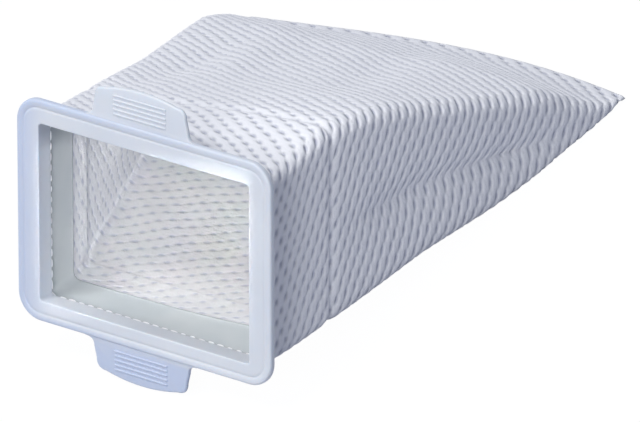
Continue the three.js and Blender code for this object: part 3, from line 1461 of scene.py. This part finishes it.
    def thinness_and_shade(self, points: np.ndarray) -> np.ndarray:
        """How much of the darker blue each point of the moulding gets: its thin, unbacked rim, with
        painted shade growing towards the left, painted shade over the left leg, and the lower tab
        most.

        Args:
            points: points in the upright frame.

        Returns:
            Shares from 0 to 1.
        """
        m = self.mouth
        flat_x = np.abs(points[:, 0]) - (m.width / 2 - m.corner)
        flat_z = np.abs(points[:, 2] - m.height / 2) - (m.height / 2 - m.corner)
        outside = np.hypot(np.maximum(flat_x, 0), np.maximum(flat_z, 0))
        inset = m.corner - outside - np.minimum(np.maximum(flat_x, flat_z), 0)
        side = points[:, 0] / m.width
        edge = 1 - smoothstep(inset, m.rim_width - 1.0, m.rim_width)
        # The rim band, darker towards the left as painted shade.
        rim = (self.rim_thin_and_shade - self.rim_shade_to_left * side) * edge
        # Painted shade over the left leg.
        rim = np.maximum(rim, self.left_leg_shade * smoothstep(-side, *self.left_leg_shade_range))
        below = smoothstep(-points[:, 2], 0.0, self.tab_ease)
        above = smoothstep(points[:, 2] - m.height, 0.0, self.tab_ease)
        return np.clip(np.where(above > 0, 0.0, np.maximum(rim, below)), 0.0, 1.0)

    def build(self, material: Material) -> Object:
        """Builds the whole moulding and lays it down.

        Args:
            material: the frame's finish.

        Returns:
            The object.
        """
        frame = self.ring_object(material)
        for upward in (True, False):
            for extra in (self.tab_object(upward, material), self.ribs_object(upward, material)):
                unite(frame, extra)
        frame.name = "mouth_frame_dressed"
        upright = vertex_points(frame.data)
        # Stores the darker blue's weight: thin plastic and painted shade.
        store(frame.data, "thin_and_shade", self.thinness_and_shade(upright))
        frame.data.vertices.foreach_set("co", self.pose.place(upright).ravel())
        frame.data.update()
        shade_smooth(frame.data)
        frame.data.set_sharp_from_angle(angle=math.radians(self.sharp_angle))
        return frame


@dataclass
class WeldSeam:
    """The broken bead of melted plastic where the liner is welded to the collar's back edge."""

    frame: MouthFrame
    pose: RestPose
    pitch: float = 3.4
    length: float = 2.9
    radius: float = 0.3
    inset: float = 0.08
    least: Triple = (0.6, 0.7, 0.7)
    most: Triple = (1.1, 1.25, 1.25)
    seed: int = 7

    def tree(self, material: Material) -> bpy.types.NodeTree:
        """A Geometry Nodes tree that lays beads end to end along an edge.

        Args:
            material: the bead's finish.

        Returns:
            The node group, with a named input for each size.
        """
        sizes = dict.fromkeys(("Bead pitch", "Bead length", "Bead radius"), "Float")
        tree = GeometryTree("weld_beads", {"Bead seed": "Int", **sizes})
        given = tree.given
        edge = tree.add("GeometryNodeMeshToCurve", {0: given["Geometry"]})
        even = tree.add(
            "GeometryNodeResampleCurve",
            {"Curve": edge.outputs[0], "Length": given["Bead pitch"]},
            mode="LENGTH",
        )
        points = tree.add(
            "GeometryNodeCurveToPoints", {"Curve": even.outputs[0]}, mode="EVALUATED"
        ).outputs
        align = tree.add("FunctionNodeAlignEulerToVector", {"Vector": points["Tangent"]}, axis="X")
        bead = tree.add("GeometryNodeMeshUVSphere", {"Segments": 12, "Rings": 8, "Radius": 1.0})
        half = tree.math("MULTIPLY", given["Bead length"], 0.5)
        radius = given["Bead radius"]
        size = tree.add("ShaderNodeCombineXYZ", {"X": half, "Y": radius, "Z": radius})
        vary = tree.add(
            "FunctionNodeRandomValue",
            {"Min": self.least, "Max": self.most, "Seed": given["Bead seed"]},
            data_type="FLOAT_VECTOR",
        )
        scale = tree.add(
            "ShaderNodeVectorMath", {0: size.outputs[0], 1: vary.outputs[0]}, operation="MULTIPLY"
        )
        placing = {"Rotation": align.outputs[0], "Scale": scale.outputs[0]}
        return tree.repeat(points["Points"], bead.outputs["Mesh"], material, **placing)

    def build(self, material: Material) -> Object:
        """Builds the seam.

        Args:
            material: the bead's finish.

        Returns:
            The object.
        """
        outline = self.frame.inner_ring(self.inset)
        depth = self.frame.mouth.collar_end
        points = np.array([(x, depth, z) for x, z in outline])
        mesh = bpy.data.meshes.new("weld_edge")
        edges = [(i, (i + 1) % len(points)) for i in range(len(points))]
        mesh.from_pydata(points.tolist(), edges, [])
        holder = add_object("weld_edge", mesh)
        modifier = holder.modifiers.new("beads", "NODES")
        modifier.node_group = self.tree(material)
        set_inputs(modifier, {
            "Bead seed": self.seed,
            "Bead pitch": self.pitch,
            "Bead length": self.length,
            "Bead radius": self.radius,
        })
        seam_mesh = evaluated_mesh(holder)
        bpy.data.objects.remove(holder)
        placed = self.pose.place(vertex_points(seam_mesh))
        seam_mesh.vertices.foreach_set("co", placed.ravel())
        shade_smooth(seam_mesh)
        return add_object("weld_seam", seam_mesh)


def set_inputs(modifier: bpy.types.Modifier, values: dict[str, float]) -> None:
    """Sets a node modifier's inputs by their identifiers.

    Args:
        modifier: the modifier.
        values: the value for each named input.
    """
    for item in modifier.node_group.interface.items_tree:
        if item.in_out == "INPUT" and item.name in values:
            modifier[item.identifier] = values[item.name]


def evaluated_mesh(obj: Object) -> Mesh:
    """A plain mesh of an object with its modifiers applied.

    Args:
        obj: the object.

    Returns:
        The new mesh.
    """
    graph = bpy.context.evaluated_depsgraph_get()
    return bpy.data.meshes.new_from_object(obj.evaluated_get(graph), depsgraph=graph)


def unite(target: Object, extra: Object) -> None:
    """Joins one closed mesh to another and removes the second.

    Args:
        target: the object that grows.
        extra: the object that is joined to it.
    """
    modifier = target.modifiers.new("unite", "BOOLEAN")
    modifier.operation = "UNION"
    modifier.solver = "EXACT"
    modifier.object = extra
    mesh = evaluated_mesh(target)
    target.modifiers.remove(modifier)
    old = target.data
    target.data = mesh
    bpy.data.meshes.remove(old)
    bpy.data.objects.remove(extra)


@dataclass
class Studio:
    """Pale floor, soft light and a long lens at the photograph's viewing angle."""

    pose: RestPose
    azimuth: float = 36.5
    elevation: float = 23.5
    image_width: float = 640.0
    mm_per_pixel: float = 0.2882
    distance: float = 3.6
    sensor: float = 36.0
    target: Triple = (41.2, 30.1, 44.9)
    sky: float = 0.46
    sky_colour: Triple = (0.84, 0.88, 1.0)
    floor_colour: Triple = (0.27, 0.29, 0.37)
    floor_glow: float = 1.09
    floor_share: float = 0.9
    floor_half: float = 6.0
    centre: Triple = (0.0, 60.0, 35.0)
    key_from: Triple = (-0.2, -0.55, 0.8)
    key_away: float = 1.4
    key_size: float = 0.4
    key_power: float = 10.4
    fill_from: Triple = (0.2, -1.0, 0.15)
    fill_away: float = 0.9
    fill_size: float = 0.4
    fill_power: float = 2.7
    beam_from: Triple = (0.46, -0.86, 0.28)
    beam_away: float = 0.25
    beam_width: float = 0.0655
    beam_height: float = 0.049
    beam_raise: float = 1.2
    beam_spread: float = 2.0
    beam_power: float = 0.009

    def build_camera(self) -> Object:
        """Places the camera.

        Returns:
            The camera.
        """
        a, e = math.radians(self.azimuth), math.radians(self.elevation)
        back = self.pose.direction(
            Vector((math.sin(a) * math.cos(e), -math.cos(a) * math.cos(e), math.sin(e)))
        )
        right = self.pose.direction(Vector((math.cos(a), math.sin(a), 0.0)))
        up = back.cross(right)
        data = bpy.data.cameras.new("camera")
        data.sensor_width = self.sensor
        data.lens = self.sensor * self.distance / (self.image_width * self.mm_per_pixel * MM)
        data.clip_end = 3 * self.distance
        camera = add_object("camera", data)
        target = Vector(self.pose.place(np.array(self.target)))
        turn = Matrix((right, up, back)).transposed().to_4x4()
        camera.matrix_world = Matrix.Translation(target + back * self.distance) @ turn
        bpy.context.scene.camera = camera
        return camera

    def build_floor(self) -> Object:
        """Lays a wide pale floor that the camera sees as white, with a trace of shadow.

        Returns:
            The floor.
        """
        material = bpy.data.materials.new("pale_floor")
        tree = NodeTree(material)
        matt = tree.add("ShaderNodeBsdfDiffuse", {"Color": (*self.floor_colour, 1.0)})
        inputs = {"Color": (1.0, 1.0, 1.0, 1.0), "Strength": self.floor_glow}
        white = tree.add("ShaderNodeEmission", inputs)
        mostly = tree.math("MULTIPLY", tree.seen(), self.floor_share)
        inputs = {0: mostly, 1: matt.outputs[0], 2: white.outputs[0]}
        tree.finish(tree.add("ShaderNodeMixShader", inputs))
        half = self.floor_half
        corners = np.array([(-half, -half, 0), (half, -half, 0), (half, half, 0), (-half, half, 0)])
        floor = mesh_object("floor", corners.astype(float), [(0, 1, 2, 3)], material)
        return floor

    def build_world(self) -> None:
        """Sets an even pale sky, white to the camera."""
        world = bpy.data.worlds.new("studio")
        bpy.context.scene.world = world
        tree = NodeTree(world)
        strength = tree.between(tree.seen(), self.sky, 1.0)
        inputs = {"Color": (*self.sky_colour, 1.0), "Strength": strength}
        background = tree.add("ShaderNodeBackground", inputs)
        tree.add("ShaderNodeOutputWorld", {"Surface": background.outputs[0]})

    def build_lamp(
        self, name: str, place: Vector, aim: Vector, size: float, power: float
    ) -> bpy.types.AreaLight:
        """Adds a soft area lamp.

        Args:
            name: its name.
            place: where it stands, in metres.
            aim: what it points at, in metres.
            size: its side, in metres.
            power: its power, in watts.

        Returns:
            The lamp's own data.
        """
        data = bpy.data.lights.new(name, "AREA")
        data.size = size
        data.energy = power
        lamp = add_object(name, data)
        lamp.location = place
        back = (place - aim).normalized()
        across = self.pose.direction(Vector((0.0, 0.0, 1.0))).cross(back).normalized()
        lamp.rotation_mode = "QUATERNION"
        axes = Matrix((across, back.cross(across), back)).transposed()
        lamp.rotation_quaternion = axes.to_quaternion()
        return data

    def build(self) -> None:
        """Builds the whole studio."""
        self.build_camera()
        self.build_floor()
        self.build_world()
        centre = Vector(self.pose.place(np.array(self.centre)))
        key = self.pose.direction(Vector(self.key_from).normalized())
        self.build_lamp("key", centre + key * self.key_away, centre, self.key_size, self.key_power)
        fill = self.pose.direction(Vector(self.fill_from).normalized())
        place = centre + fill * self.fill_away
        self.build_lamp("fill", place, centre, self.fill_size, self.fill_power)
        height = self.pose.shape.mouth.middle + self.beam_raise
        mouth = Vector(self.pose.place(np.array((0.0, 0.0, height))))
        beam = self.pose.direction(Vector(self.beam_from).normalized())
        place = mouth + beam * self.beam_away
        lamp = self.build_lamp("beam", place, mouth, self.beam_width, self.beam_power)
        lamp.shape = "RECTANGLE"
        lamp.size_y = self.beam_height
        lamp.spread = math.radians(self.beam_spread)
        bpy.context.scene.view_settings.view_transform = "Standard"


def main() -> None:
    """Builds the dressed dust bag in its studio."""
    logging.basicConfig(level=logging.INFO, format="%(name)s: %(message)s")
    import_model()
    shape = PouchShape()
    tab = TabSizes()
    pose = RestPose(shape, tab)
    Studio(pose).build()

    plastic = MilkyPlastic().build()
    moulding = MouthFrame(shape.mouth, tab, pose)
    frame = moulding.build(plastic)
    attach(frame, "root")
    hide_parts("mouth_frame")
    LOG.info("frame has %d faces", len(frame.data.polygons))

    bright, dull = linear(248, 249, 250), linear(242, 244, 247)
    melted = MilkyPlastic("melted_plastic", bright, dull, roughness=0.25)
    seam = WeldSeam(moulding, pose).build(melted.build())
    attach(seam, "root")
    LOG.info("weld seam has %d faces", len(seam.data.polygons))

    cloth = ClothBag(shape, Emboss(), pose).build(EmbossedCloth().build())
    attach(cloth, "root")
    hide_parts("cloth_bag")
    LOG.info("cloth has %d faces", len(cloth.data.polygons))

    liner = MouthLiner(shape, pose).build(SatinLiner().build())
    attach(liner, "root")
    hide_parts("mouth_liner")
    LOG.info("liner has %d faces", len(liner.data.polygons))


if __name__ == "__main__":
    main()
